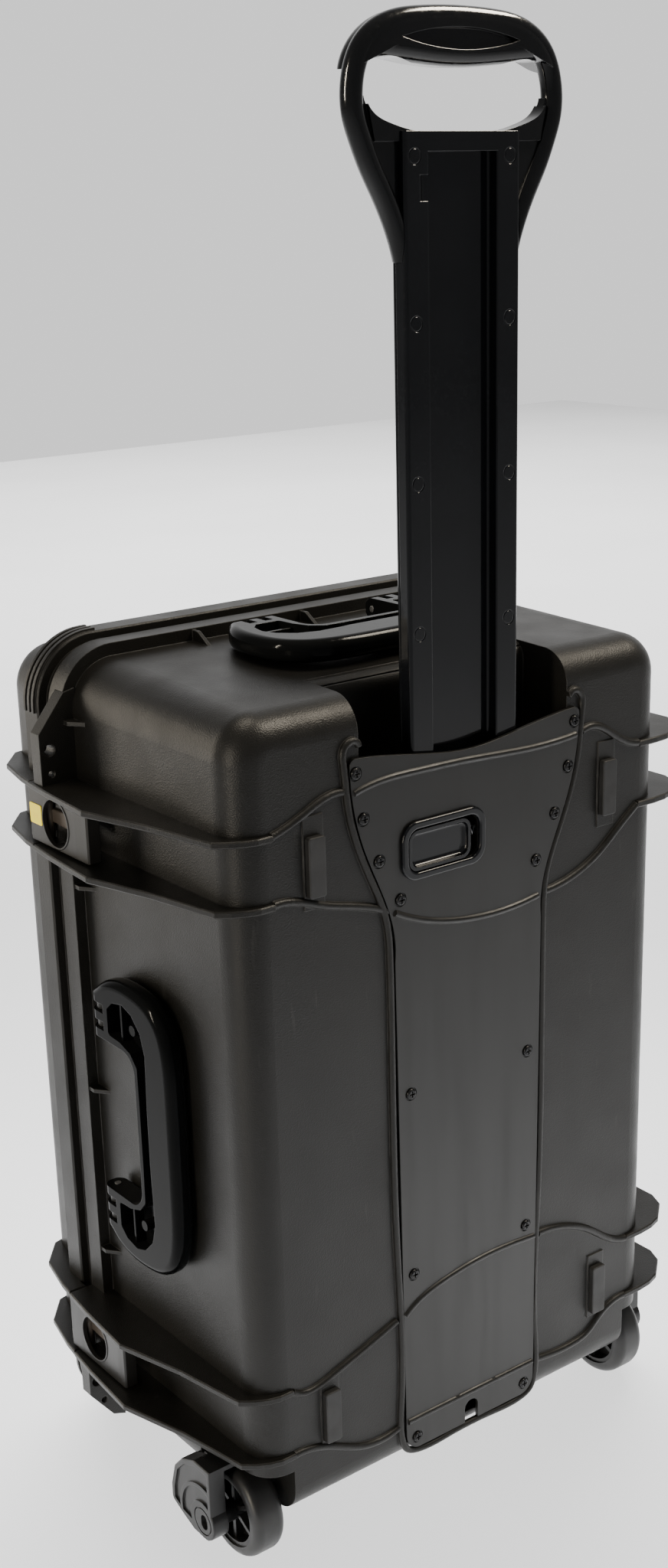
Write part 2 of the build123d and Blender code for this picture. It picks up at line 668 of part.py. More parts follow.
# ---------------------------------------------------------------- latches
TRIGGER_X = 220.5
TRIGGER_DEPTH = 213.0
TRIGGER_PIN = 1.5
PLATE_INNER = 225.0
PLATE_OUTER = 228.0
LATCH_TIP = 146.0         # depth of the lever's free end
LATCH_HEEL = 229.0
FINGER_HOLE = 18.0
FINGER_DEPTH = 191.0
CHEEK_THICK = 2.6
LIP_INNER = 217.5         # X of the inner edge of the lever's lip and cheeks
CHEEK = ((LIP_INNER, LATCH_TIP), (226.0, LATCH_TIP), (226.0, LATCH_HEEL), (224.5, 234.0), (LIP_INNER, 233.0))
KNUCKLE = 4.2
TRIGGER_HALF = ((171.0, 9.5), (176.0, 9.0), (181.0, 6.5), (213.0, 5.0))   # depth and half height
TRIGGER_INNER = 215.4
TRIGGER_THICK = 4.2
TRIGGER_KNUCKLE = 3.2
PIN_SHORT = 0.6           # a trigger pin ends this far inside the lever's cheeks


def latch_span(index):
    low, high = LATCH_SPANS[index]
    return low, high, (low + high) / 2


def latch_lever(index):
    low, high, middle = latch_span(index)
    plate = block(PLATE_INNER, PLATE_OUTER, LATCH_TIP, LATCH_HEEL, low, high)
    plate = chamfer(plate.edges().filter_by(Axis.Z).sort_by(Axis.X)[-2:], 1.2)
    plate = plate + block(LIP_INNER, PLATE_OUTER - 1.2, LATCH_TIP, LATCH_TIP + CHEEK_THICK, low, high)
    for start in (low, high - CHEEK_THICK):
        knuckle = rod_z(KNUCKLE, start, start + CHEEK_THICK, LATCH_PIVOT_X, LATCH_PIVOT_DEPTH)
        plate = plate + shelf(CHEEK, start, CHEEK_THICK) + knuckle
    rim = rod_x(FINGER_HOLE + 1.4, PLATE_OUTER - 2, PLATE_OUTER + 0.5, FINGER_DEPTH, middle)
    rim = rim & block(220, 235, LATCH_TIP, LATCH_HEEL, low, high)
    lever = plate + rim - rod_x(FINGER_HOLE, 220, 235, FINGER_DEPTH, middle)
    lever = lever - rod_z(LATCH_PIN + RUN_GAP, low - 1, high + 1, LATCH_PIVOT_X, LATCH_PIVOT_DEPTH)
    return lever - trigger_pin(index)


def latch_pin(index):
    low, high, _ = latch_span(index)
    return rod_z(LATCH_PIN, low - 0.3, high + 0.3, LATCH_PIVOT_X, LATCH_PIVOT_DEPTH)


def latch_trigger(index):
    """Bar across the lever's finger hole; pressing it inwards frees the latch."""
    low, high, middle = latch_span(index)
    lower = [(depth, middle - half) for depth, half in TRIGGER_HALF]
    upper = [(depth, middle + half) for depth, half in TRIGGER_HALF]
    bar = across(lower + upper[::-1], TRIGGER_INNER, TRIGGER_THICK)
    bar = fillet(bar.faces().sort_by(Axis.X)[-1].edges(), 1.2)
    bar = bar + rod_z(TRIGGER_KNUCKLE, low + 3.0, high - 3.0, TRIGGER_X, TRIGGER_DEPTH)
    return bar - rod_z(TRIGGER_PIN + RUN_GAP, low, high, TRIGGER_X, TRIGGER_DEPTH)


def trigger_pin(index):
    low, high, _ = latch_span(index)
    return rod_z(TRIGGER_PIN, low + PIN_SHORT, high - PIN_SHORT, TRIGGER_X, TRIGGER_DEPTH)


def latch_tag():
    """Plain label on the upper lever, beside its finger hole."""
    middle = latch_span(0)[2]
    tag = block(PLATE_OUTER, PLATE_OUTER + 0.6, 210.8, 227.6, middle - 6.5, middle + 9.0)
    return fillet(tag.edges().filter_by(Axis.X), 1.5)


# ---------------------------------------------------------------- pull handle
GRIP_CENTRE = (
    (44.5, 901.0), (48.4, 913.5), (53.6, 926.0), (61.2, 940.8), (70.8, 957.6), (78.6, 974.6), (83.2, 988.0),
    (84.0, 1002.0), (81.2, 1015.5), (75.6, 1026.2), (65.2, 1035.4), (50.3, 1041.4), (29.7, 1044.2),
)
GRIP_BAR = 7.3            # radius of the loop's round bar
GRIP_DEPTH = 9.4          # depth of the bar's centre line
OPENING_SIDE = (
    (20.0, 976.3), (40.0, 978.6), (58.0, 983.0), (70.0, 988.5), (76.0, 997.0), (75.8, 1007.0), (72.0, 1017.0),
    (62.0, 1021.3), (35.0, 1017.8), (15.0, 1016.4),
)
CROSSBAR_TOP = ((86.0, 1014.0), (80.6, 1027.5), (69.0, 1039.5), (52.2, 1047.5), (30.0, 1051.0))
CROSSBAR_LOW = ((70.0, 1020.5), (35.0, 1017.8), (15.0, 1016.4))
CROSSBAR_BACK = 1.8
CROSSBAR_FRONT = 27.0
PANEL_SIDE = ((49.0, 905.0), (60.0, 938.0), (70.0, 957.0), (78.0, 975.0), (82.0, 992.0), (75.0, 1000.0))
SOCKET_BOTTOM = 938.0
NOTCH_LEVELS = (506.0, 944.0)
NOTCH_HALF_HEIGHT = 8.0   # rail notches that the lock pawl drops into
EJECTOR_LEVELS = (963.0, 861.0, 758.0, 657.0)
EJECTOR_X = 40.5


def ejector_mark(x, level):
    """Cutter for a shallow ring in a rail's rear face."""
    disc = rod_y(5.2, TUBE_BACK - 1, TUBE_BACK + 0.35, x, level)
    return disc - rod_y(4.4, TUBE_BACK - 2, TUBE_BACK + 2, x, level)


def pull_tube():
    """Two rails joined by a recessed web, with notches for the lock pawl."""
    inner = TUBE_HALF - RAIL_WIDTH
    body = block(-TUBE_HALF, TUBE_HALF, TUBE_BACK, TUBE_BACK + TUBE_THICK, TUBE_FOOT, TUBE_HEAD)
    body = fillet(body.edges().filter_by(Axis.Z), 2.6)
    web = block(-inner, inner, TUBE_BACK - 1, TUBE_BACK + RAIL_RAISE, TUBE_FOOT - 1, TUBE_HEAD - 12)
    web = fillet(web.edges().filter_by(Axis.Z).sort_by(Axis.Y)[:2], 2.0)
    body = body - web
    body = fillet(body.edges().filter_by(Axis.Z).group_by(Axis.Y)[-1], 1.2)
    for edge in (-TUBE_HALF, TUBE_HALF):
        body = body - block(edge - 0.5, edge + 0.5, 11.2, 12.0, TUBE_FOOT - 1, TUBE_HEAD + 1)
    for x in (-EJECTOR_X, EJECTOR_X):
        body = body - [ejector_mark(x, level) for level in EJECTOR_LEVELS]
    for level in NOTCH_LEVELS:
        low, high = level - NOTCH_HALF_HEIGHT, level + NOTCH_HALF_HEIGHT
        body = body - block(inner - 1, inner + 7.5, -1, TUBE_BACK + RAIL_RAISE, low, high)
    return body


def grip_loop():
    """Round bar from one side of the tube, over the top, to the other side."""
    points = list(GRIP_CENTRE) + mirrored(reversed(GRIP_CENTRE))
    return bead(points, GRIP_DEPTH, GRIP_BAR)


def crossbar():
    """Thicker bar that the hand holds, with a pointed oval hollow in its back."""
    top = Spline(*CROSSBAR_TOP, *mirrored(reversed(CROSSBAR_TOP)))
    low = Spline(*CROSSBAR_LOW, *mirrored(reversed(CROSSBAR_LOW)))
    end = Line(CROSSBAR_TOP[0], CROSSBAR_LOW[0])
    other_end = Line(mirrored(CROSSBAR_TOP)[0], mirrored(CROSSBAR_LOW)[0])
    bar = slab(make_face([top, low, end, other_end]), CROSSBAR_BACK, CROSSBAR_FRONT)
    long_edges = bar.edges().filter_by(lambda edge: edge.length > 120)
    bar = fillet(long_edges, 9.0)
    upper = ThreePointArc((-49, 1032.5), (0, 1039.3), (49, 1032.5))
    lower = ThreePointArc((-49, 1032.5), (0, 1026.0), (49, 1032.5))
    return bar - slab(make_face([upper, lower]), CROSSBAR_BACK - 1, CROSSBAR_BACK + 4.5)


def grip_panel():
    """Recessed plate that joins the loop to the tube."""
    outline = make_face(Polyline(*PANEL_SIDE, *mirrored(reversed(PANEL_SIDE)), close=True))
    return slab(outline, 7.0, 13.5)


def grip_opening():
    outline = Spline(*OPENING_SIDE, *mirrored(reversed(OPENING_SIDE)), periodic=True)
    return slab(make_face([outline]), -10, 60)


def pull_grip():
    """Loop, crossbar and panel in one moulding, with a socket for the tube's head."""
    lip = slab(make_face(Polyline((-76, 1000), (-70, 972), (70, 972), (76, 1000), close=True)), 4.5, 16.0)
    socket = block(-TUBE_HALF - 0.5, TUBE_HALF + 0.5, 14.0, 21.0, SOCKET_BOTTOM, TUBE_HEAD + 1)
    socket = fillet(socket.edges().filter_by(Axis.X).sort_by(Axis.Y)[:2], 3.0)
    body = grip_loop() + crossbar() + grip_panel() + lip
    seat = block(-TUBE_HALF, TUBE_HALF, -5, TUBE_BACK + TUBE_THICK, 880, TUBE_HEAD)
    below = block(-TUBE_HALF, TUBE_HALF, TUBE_BACK + TUBE_THICK - 1, 60, 880, SOCKET_BOTTOM)
    return body + socket - grip_opening() - seat - below


def tube_foot():
    """Guide block on the tube's lower end; it runs in the track."""
    foot = block(-51.2, 51.2, 0.6, 17.8, TUBE_FOOT - 12, TUBE_FOOT + 16)
    foot = fillet(foot.edges().filter_by(Axis.Z), 1.5)
    return foot - pull_tube()


# ---------------------------------------------------------------- release spring
SPRING_WIRE = 0.5
SPRING_COIL = 3.2
SPRING_LEFT = -26.5
SPRING_RIGHT = 12.0
SPRING_DEPTH = 5.0


def spring_stop():
    return block(SPRING_LEFT - 2.0, SPRING_LEFT, -1.0, 9.2, RELEASE_LEVEL - 5, RELEASE_LEVEL + 5)


def release_spring():
    length = SPRING_RIGHT - SPRING_LEFT - 2 * SPRING_WIRE
    coil = Helix(pitch=length / 8, height=length, radius=SPRING_COIL)
    wire = sweep(Plane(origin=coil @ 0, z_dir=coil % 0) * Circle(SPRING_WIRE), path=coil)
    return Pos(SPRING_LEFT + SPRING_WIRE, y_of(SPRING_DEPTH), z_of(RELEASE_LEVEL)) * Rot(0, 90, 0) * wire


# ---------------------------------------------------------------- wheels, axles and brackets
SPOKES = 6


def wheel_hub(width, boss_low, boss_high):
    """Wheel centre about the X axis: rim, web, spokes and a boss; boss ends given from the wheel's middle."""
    rim = Cylinder(HUB_RADIUS, width - 3) - Cylinder(25.5, width)
    web = Cylinder(27.0, 4.0)
    boss = Pos(0, 0, (boss_low + boss_high) / 2) * Cylinder(8.0, boss_high - boss_low)
    hub = rim + web + boss
    for turn in range(SPOKES):
        arm = Pos(16.0, 0) * Box(21.0, 3.6, width - 9)
        hub = hub + Rot(0, 0, turn * 360 / SPOKES) * arm
    hub = hub - Cylinder(AXLE_RADIUS + RUN_GAP, 2 * width)
    return Rot(0, 90, 0) * hub


def tyre(width):
    ring_body = Cylinder(WHEEL_RADIUS, width) - Cylinder(HUB_RADIUS, width + 2)
    rims = ring_body.edges().filter_by(GeomType.CIRCLE)
    ring_body = fillet(rims.filter_by(lambda edge: edge.radius > HUB_RADIUS + 1), 7.0)
    return Rot(0, 90, 0) * ring_body


def wheel_places():
    """Each wheel's middle, and the side of the case that it's on."""
    ends = {"rear": (REAR_WHEEL_X, REAR_WHEEL_DEPTH), "front": (FRONT_WHEEL_X, FRONT_WHEEL_DEPTH)}
    places = {}
    for end, (x, depth) in ends.items():
        for name, side in (("near", 1), ("far", -1)):
            places[f"{end}_{name}"] = (Pos(side * x, y_of(depth), z_of(AXLE_LEVEL)), side)
    return places


BRACKET_INNER = 213.5     # X of the plate's inner face
BRACKET_THICK = 13.5
BRACKET_BOSS = REAR_WHEEL_DEPTH + 2
BRACKET_SIDE = (
    (33.0, -8.0), (33.0, 46.6), (54.0, 46.6), (71.0, 39.0), (82.0, 27.0), (87.5, 8.0), (88.0, -6.0),
    (72.0, -13.0), (58.0, -18.0), (38.0, -18.0),
)
BRACKET_FIELD = (
    (37.0, -1.0), (37.0, 42.0), (53.0, 42.0), (68.0, 35.5), (78.0, 25.0), (83.0, 7.5), (83.5, -3.0),
    (72.0, -8.0), (55.0, -10.0),
)


def bracket_relief():
    """Cutters for the bracket's outer face: a sunk field round a ridge, a ring groove and an oval pocket."""
    outside = BRACKET_INNER + BRACKET_THICK
    centre = Pos(y_of(BRACKET_BOSS), z_of(AXLE_LEVEL))
    ridge = centre * (Circle(31.0) - Circle(28.0))
    field = side_face(BRACKET_FIELD) - centre * Circle(16.5) - ridge
    groove = centre * (Circle(11.5) - Circle(10.4))
    oval = Pos(y_of(REAR_WHEEL_DEPTH), z_of(AXLE_LEVEL)) * Rot(0, 0, 90) * SlotOverall(12.5, 8.4)
    sunk = ((field, 1.4), (groove, 1.0), (oval, 4.0))
    return [across(outline, outside - depth, 10) for outline, depth in sunk]


def bracket_arms():
    """Arms that join the bracket's plate to the case above the wheel and in front of it."""
    top_arm = block(196.0, 214.0, 33.0, 58.0, 42.6, 46.6)
    toe_arm = block(196.0, 214.0, 83.4, 87.6, -8.0, 24.0)
    inside_well = block(150, 203, 60, 84.0, -80, WELL_TOP)
    return top_arm + toe_arm - tub(0, 0, 0, BASE_DEPTH, BACK_ROUND, 0) - inside_well


def rear_bracket():
    """Outer support of a rear wheel's axle, on the +X side."""
    outline = side_face(BRACKET_SIDE)
    outline = fillet(outline.vertices().sort_by(Axis.X)[:-2], 6.0)
    boss = Pos(y_of(BRACKET_BOSS), z_of(AXLE_LEVEL)) * Circle(15.5)
    plate = across(outline + boss, BRACKET_INNER, BRACKET_THICK)
    plate = fillet(plate.faces().sort_by(Axis.X)[-1].edges(), 1.2)
    plate = plate - bracket_relief() + bracket_arms()
    return plate - rod_x(AXLE_RADIUS, 200, 228.5, REAR_WHEEL_DEPTH, AXLE_LEVEL)


def rear_axle():
    return rod_x(AXLE_RADIUS, 163.0, 223.0, REAR_WHEEL_DEPTH, AXLE_LEVEL)


def front_axle():
    return rod_x(AXLE_RADIUS, 134.0, 178.0, FRONT_WHEEL_DEPTH, AXLE_LEVEL)


def rest_pads():
    pads = []
    for x, level in pad_spots():
        outline = Pos(x, level) * RectangleRounded(14.0, 43.5, 2.0)
        pad = slab(outline, -PROUD, -1.2)
        pads.append(fillet(pad.faces().sort_by(Axis.Y)[-1].edges(), 1.0))
    return pads


# ---------------------------------------------------------------- write every node
def save_shells():
    save(base_shell(), "base_shell")
    save(lid_shell(), "lid_shell")
    save(ring(3.2, -0.8, LID_BACK + 2.2, LID_BACK + 6), "lid_seal")
    save(hinge_pin(0), "upper_hinge_pin")
    save(hinge_pin(1), "lower_hinge_pin")
    save_group(base_wings(), "base_wings")
    save_group(lid_wings(), "lid_wings")
    save_group(lock_webs(), "lock_webs")
    save_group(rest_pads(), "rest_pads")


def save_latches():
    for index, name in enumerate(("upper", "lower")):
        save(latch_lever(index), f"{name}_latch_lever")
        save(latch_pin(index), f"{name}_latch_pin")
        save(latch_trigger(index), f"{name}_latch_trigger")
        save(trigger_pin(index), f"{name}_trigger_pin")
    save(latch_tag(), "latch_tag")


def save_trolley():
    save(trolley_cover() + spring_stop(), "trolley_cover")
    save_group([cover_screw(x, level) for x, level in screw_spots()], "cover_screws")
    save(release_bezel(), "release_bezel")
    save(release_button(), "release_button")
    save(lock_pawl(), "lock_pawl")
    save(release_spring(), "release_spring")
    save(pull_tube(), "pull_tube")
    save(pull_grip(), "pull_grip")
    save(tube_foot(), "tube_foot")


def save_handles():
    for half, side in ((SIDE_HANDLE_HALF, "side"), (TOP_HANDLE_HALF, "top")):
        frame = handle_frame(side)
        save(frame * carry_handle(half), f"{side}_handle")
        save_group([frame * pin for pin in handle_pins(half)], f"{side}_handle_pins")


def save_wheels():
    for name, (place, side) in wheel_places().items():
        if name.startswith("rear"):
            hub = wheel_hub(WHEEL_WIDTH, -14.8, 22.2)
        else:
            hub = wheel_hub(WHEEL_WIDTH, -16.5, 16.5)
        hub = hub if side > 0 else mirror(hub, Plane.YZ)
        save(place * hub, f"{name}_wheel_hub")
        save(place * tyre(WHEEL_WIDTH), f"{name}_tyre")
    for name, axle in (("rear", rear_axle()), ("front", front_axle())):
        save(axle, f"{name}_near_axle")
        save(mirror(axle, Plane.YZ), f"{name}_far_axle")
    bracket = rear_bracket()
    save(bracket, "rear_near_bracket")
    save(mirror(bracket, Plane.YZ), "rear_far_bracket")


save_shells()
save_latches()
save_trolley()
save_handles()
save_wheels()
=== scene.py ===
import json
import math

import bmesh
import bpy
from mathutils import Matrix, Vector


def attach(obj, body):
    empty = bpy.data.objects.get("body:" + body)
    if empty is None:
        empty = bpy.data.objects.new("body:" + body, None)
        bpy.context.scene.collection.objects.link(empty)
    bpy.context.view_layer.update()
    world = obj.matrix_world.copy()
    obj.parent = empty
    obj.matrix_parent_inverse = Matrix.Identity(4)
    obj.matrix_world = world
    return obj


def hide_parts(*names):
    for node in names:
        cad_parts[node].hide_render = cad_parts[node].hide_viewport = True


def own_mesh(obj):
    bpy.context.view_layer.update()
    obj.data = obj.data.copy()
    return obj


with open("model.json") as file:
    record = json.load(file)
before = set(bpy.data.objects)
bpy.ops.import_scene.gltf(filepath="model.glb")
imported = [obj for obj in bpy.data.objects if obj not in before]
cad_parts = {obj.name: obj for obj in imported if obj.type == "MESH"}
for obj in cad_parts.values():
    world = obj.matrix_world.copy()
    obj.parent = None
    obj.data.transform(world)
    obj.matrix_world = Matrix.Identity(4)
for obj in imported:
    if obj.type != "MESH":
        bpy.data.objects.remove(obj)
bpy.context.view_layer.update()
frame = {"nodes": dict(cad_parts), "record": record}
nodes = frame["nodes"]
everything = bpy.context.scene.collection


# ---------------------------------------------------------------- camera
CAMERA_AT = Vector((0.8576, 1.1331, 0.9790))
AZIMUTH = math.radians(36.9)
ELEVATION = math.radians(18.95)
ROLL = math.radians(-1.54)
LENS = 43.82              # mm, on a sensor 36 mm wide
SENSOR = 36.0
SHIFT = (-0.0007, 0.0459)

forward = Vector((-math.sin(AZIMUTH), -math.cos(AZIMUTH), -math.tan(ELEVATION))).normalized()
camera_data = bpy.data.cameras.new("camera")
camera_data.lens = LENS
camera_data.sensor_width = SENSOR
camera_data.shift_x, camera_data.shift_y = SHIFT
camera = bpy.data.objects.new("camera", camera_data)
everything.objects.link(camera)
turn = forward.to_track_quat("-Z", "Y").to_matrix().to_4x4() @ Matrix.Rotation(ROLL, 4, "Z")
camera.matrix_world = Matrix.Translation(CAMERA_AT) @ turn
bpy.context.scene.camera = camera


# ---------------------------------------------------------------- node helpers
BEVEL_SAMPLES = 6
RANGE_SOCKETS = ("From Min", "From Max", "To Min", "To Max")


class Look:
    """A Principled material on object coordinates, built up in steps."""

    def __init__(self, name):
        self.material = bpy.data.materials.new(name)
        self.material.use_nodes = True
        self.tree = self.material.node_tree
        self.shader = self.tree.nodes["Principled BSDF"]
        self.place = self.add("ShaderNodeTexCoord").outputs["Object"]
        self.normal = None

    def add(self, kind, **settings):
        node = self.tree.nodes.new(kind)
        for key, value in settings.items():
            setattr(node, key, value)
        return node

    def wire(self, source, target):
        self.tree.links.new(source, target)

    def noise(self, scale, detail=2.0, roughness=0.5, place=None):
        """Soft noise, from 0 to 1, on the object's own coordinates unless another place is given."""
        node = self.add("ShaderNodeTexNoise")
        node.inputs["Scale"].default_value = scale
        node.inputs["Detail"].default_value = detail
        node.inputs["Roughness"].default_value = roughness
        self.wire(place or self.place, node.inputs["Vector"])
        return node.outputs["Fac"]

    def stretched(self, share, scale, detail=2.0):
        """Noise drawn out along Z; a smaller share makes longer streaks."""
        mapping = self.add("ShaderNodeMapping")
        mapping.inputs["Scale"].default_value = (1.0, 1.0, share)
        self.wire(self.place, mapping.inputs["Vector"])
        return self.noise(scale, detail, place=mapping.outputs["Vector"])

    def pebbles(self, scale):
        """Height of round moulded pebbles."""
        node = self.add("ShaderNodeTexVoronoi", feature="SMOOTH_F1")
        node.inputs["Scale"].default_value = scale
        self.wire(self.place, node.inputs["Vector"])
        return node.outputs["Distance"]

    def remap(self, value, from_low, from_high, to_low=0.0, to_high=1.0):
        """Stretch part of a value's range onto another range, with its ends held."""
        node = self.add("ShaderNodeMapRange")
        for key, number in zip(RANGE_SOCKETS, (from_low, from_high, to_low, to_high)):
            node.inputs[key].default_value = number
        self.wire(value, node.inputs["Value"])
        return node.outputs["Result"]

    def blend(self, mask, low, high):
        """Colour from low, where the mask is 0, to high, where it is 1."""
        node = self.add("ShaderNodeMix", data_type="RGBA")
        self.wire(mask, node.inputs[0])
        for socket, colour in ((node.inputs[6], low), (node.inputs[7], high)):
            if isinstance(colour, tuple):
                socket.default_value = (*colour, 1.0)
            else:
                self.wire(colour, socket)
        return node.outputs[2]

    def multiply(self, first, second):
        node = self.add("ShaderNodeMath", operation="MULTIPLY")
        self.wire(first, node.inputs[0])
        self.wire(second, node.inputs[1])
        return node.outputs[0]

    def rounded_normal(self, radius):
        node = self.add("ShaderNodeBevel", samples=BEVEL_SAMPLES)
        node.inputs["Radius"].default_value = radius
        return node.outputs["Normal"]

    def soften(self, radius):
        """Round off moulded edges in the shading."""
        self.normal = self.rounded_normal(radius)

    def edge_mask(self, radius, low, high):
        """1 on sharp edges and corners, 0 on open faces."""
        flat = self.add("ShaderNodeNewGeometry")
        dot = self.add("ShaderNodeVectorMath", operation="DOT_PRODUCT")
        self.wire(self.rounded_normal(radius), dot.inputs[0])
        self.wire(flat.outputs["Normal"], dot.inputs[1])
        return self.remap(dot.outputs["Value"], low, high, 1.0, 0.0)

    def bump(self, height, strength, distance):
        """Add relief on top of the relief so far."""
        node = self.add("ShaderNodeBump")
        node.inputs["Strength"].default_value = strength
        node.inputs["Distance"].default_value = distance
        self.wire(height, node.inputs["Height"])
        if self.normal is not None:
            self.wire(self.normal, node.inputs["Normal"])
        self.normal = node.outputs["Normal"]

    def finish(self, colour, roughness, **constants):
        """Wire up the shader; a roughness may be one number, and constants name other sockets."""
        self.wire(colour, self.shader.inputs["Base Color"])
        if isinstance(roughness, float):
            constants["Roughness"] = roughness
        else:
            self.wire(roughness, self.shader.inputs["Roughness"])
        for key, value in constants.items():
            self.shader.inputs[key.replace("_", " ")].default_value = value
        if self.normal is not None:
            self.wire(self.normal, self.shader.inputs["Normal"])
        return self.material


# ---------------------------------------------------------------- materials
def grained_shell(name, dark, light, rough, grain):
    """Moulded shell: fine pebble grain, faint flow mottling, paler rubbed edges and scuffs."""
    look = Look(name)
    look.soften(0.0009)
    colour = look.blend(look.remap(look.noise(9.0, 4.0), 0.3, 0.7), dark, light)
    scuffs = look.remap(look.stretched(0.12, 140.0, 4.0), 0.66, 0.8, 0.0, 0.25)
    colour = look.blend(scuffs, colour, (0.075, 0.071, 0.066))
    edges = look.edge_mask(0.0012, 0.90, 0.995)
    patches = look.remap(look.noise(60.0), 0.35, 0.7, 0.1, 0.8)
    colour = look.blend(look.multiply(edges, patches), colour, (0.085, 0.082, 0.078))
    look.bump(look.pebbles(1150.0), grain, 0.00035)
    look.bump(look.noise(2400.0, 2.0), 0.25, 0.00012)
    roughness = look.remap(look.noise(26.0, 5.0), 0.3, 0.7, rough - 0.05, rough + 0.06)
    return look.finish(colour, roughness, Specular_IOR_Level=0.34)


def satin_plastic(name, dark, light, rough, shine=0.34):
    """Smoother moulding with a fine matte texture and slight sink-mark waviness."""
    look = Look(name)
    look.soften(0.0007)
    colour = look.blend(look.remap(look.noise(14.0, 3.0), 0.3, 0.7), dark, light)
    look.bump(look.noise(18.0, 1.0), 0.05, 0.002)
    look.bump(look.noise(1800.0, 2.0), 0.2, 0.00015)
    streaks = look.stretched(0.08, 90.0, 3.0)
    roughness = look.remap(streaks, 0.35, 0.7, rough - 0.06, rough + 0.08)
    return look.finish(colour, roughness, Specular_IOR_Level=shine)


def glossy_plastic(name, dark, light, rough, shine=0.4):
    """Polished moulding: slow waviness in the reflections, hairline scratches, dust in the roughness."""
    look = Look(name)
    look.soften(0.0006)
    colour = look.blend(look.remap(look.noise(20.0, 3.0), 0.3, 0.7), dark, light)
    look.bump(look.noise(22.0, 1.0), 0.06, 0.002)
    hairlines = look.remap(look.stretched(0.03, 900.0, 2.0), 0.62, 0.75)
    look.bump(hairlines, 0.04, 0.0001)
    dust = look.remap(look.noise(240.0, 6.0, 0.7), 0.5, 0.75, rough, rough + 0.16)
    return look.finish(colour, dust, Specular_IOR_Level=shine)


def brushed_metal(name, base, rough):
    """Turned steel with fine lines along the pins."""
    look = Look(name)
    look.soften(0.0003)
    lines = look.stretched(0.05, 1500.0, 3.0)
    look.bump(lines, 0.12, 0.0001)
    dull = tuple(0.75 * channel for channel in base)
    colour = look.blend(look.remap(look.noise(300.0, 3.0), 0.4, 0.7), base, dull)
    roughness = look.remap(lines, 0.3, 0.7, rough - 0.08, rough + 0.1)
    return look.finish(colour, roughness, Metallic=1.0)


def rubber(name, dark, light, rough):
    """Dull rubber with a fine skin and dusty patches."""
    look = Look(name)
    look.soften(0.0006)
    colour = look.blend(look.remap(look.noise(55.0, 5.0), 0.35, 0.7), dark, light)
    look.bump(look.noise(900.0, 3.0), 0.3, 0.0002)
    roughness = look.remap(look.noise(70.0, 4.0), 0.3, 0.7, rough - 0.07, rough + 0.08)
    return look.finish(colour, roughness)


def black_screw(name):
    """Blackened steel with small bright rubs."""
    look = Look(name)
    look.soften(0.0004)
    rubs = look.remap(look.noise(700.0, 3.0), 0.5, 0.7)
    colour = look.blend(rubs, (0.012, 0.012, 0.013), (0.05, 0.05, 0.05))
    look.bump(look.noise(1200.0, 2.0), 0.1, 0.0001)
    roughness = look.remap(look.noise(400.0, 3.0), 0.3, 0.7, 0.16, 0.3)
    return look.finish(colour, roughness, Metallic=0.6)


def plain_tag(name):
    """Bright label film, with worn patches, and a painted glow: a faint yellow emission that makes it
    shine brighter than the lamps light it.
    """
    look = Look(name)
    wear = look.remap(look.noise(160.0, 4.0), 0.45, 0.75, 0.0, 0.5)
    colour = look.blend(wear, (1.0, 0.84, 0.0), (0.8, 0.62, 0.0))
    look.bump(look.noise(900.0, 2.0), 0.08, 0.0001)
    roughness = look.remap(look.noise(120.0), 0.3, 0.7, 0.3, 0.45)
    # Painted glow: a faint emission lifts the label's brightness as if it were lit more strongly.
    painted_glow = (1.0, 0.72, 0.0, 1.0)
    return look.finish(colour, roughness, Emission_Color=painted_glow, Emission_Strength=0.22)


FINISHES = {
    "shell": grained_shell("shell_grain", (0.0085, 0.008, 0.0068), (0.0115, 0.0108, 0.0093), 0.40, 0.45),
    "cover": satin_plastic("cover_satin", (0.0085, 0.008, 0.007), (0.0115, 0.011, 0.0098), 0.36, 0.46),
    "gloss_black": glossy_plastic("gloss_black", (0.0035, 0.004, 0.005), (0.0055, 0.006, 0.0075), 0.08),
    "latch_black": satin_plastic("latch_black", (0.014, 0.0135, 0.013), (0.02, 0.019, 0.018), 0.34),
    "trigger_brown": satin_plastic("trigger_brown", (0.07, 0.056, 0.044), (0.095, 0.078, 0.062), 0.45),
    "wheel_hub": satin_plastic("wheel_satin", (0.012, 0.012, 0.0125), (0.018, 0.018, 0.018), 0.32),
    "tyre": rubber("tyre_rubber", (0.011, 0.011, 0.0115), (0.02, 0.0195, 0.019), 0.42),
    "pad_rubber": rubber("pad_rubber", (0.014, 0.014, 0.014), (0.022, 0.021, 0.02), 0.55),
    "seal_rubber": rubber("seal_rubber", (0.009, 0.009, 0.009), (0.014, 0.014, 0.014), 0.6),
    "pin_steel": brushed_metal("pin_steel", (0.52, 0.52, 0.53), 0.32),
    "screw_black": black_screw("screw_black"),
    "tag_yellow": plain_tag("tag_yellow"),
}
grip = glossy_plastic("grip_black", (0.0035, 0.0038, 0.0044), (0.0055, 0.0058, 0.0065), 0.12)
handle = glossy_plastic("handle_black", (0.0035, 0.0038, 0.004), (0.0045, 0.0048, 0.005), 0.1, 0.05)
SPECIAL = {"pull_grip": grip, "side_handle": handle, "top_handle": handle}

for part in frame["record"]["subparts"]:
    node = part["node"]
    materials = nodes[node].data.materials
    materials.clear()
    materials.append(SPECIAL.get(node, FINISHES[part["material_slot"]]))


coil = bpy.data.objects.new("return_spring", nodes["release_spring"].data.copy())
everything.objects.link(coil)
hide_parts("release_spring")
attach(coil, "case_base")
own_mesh(coil)


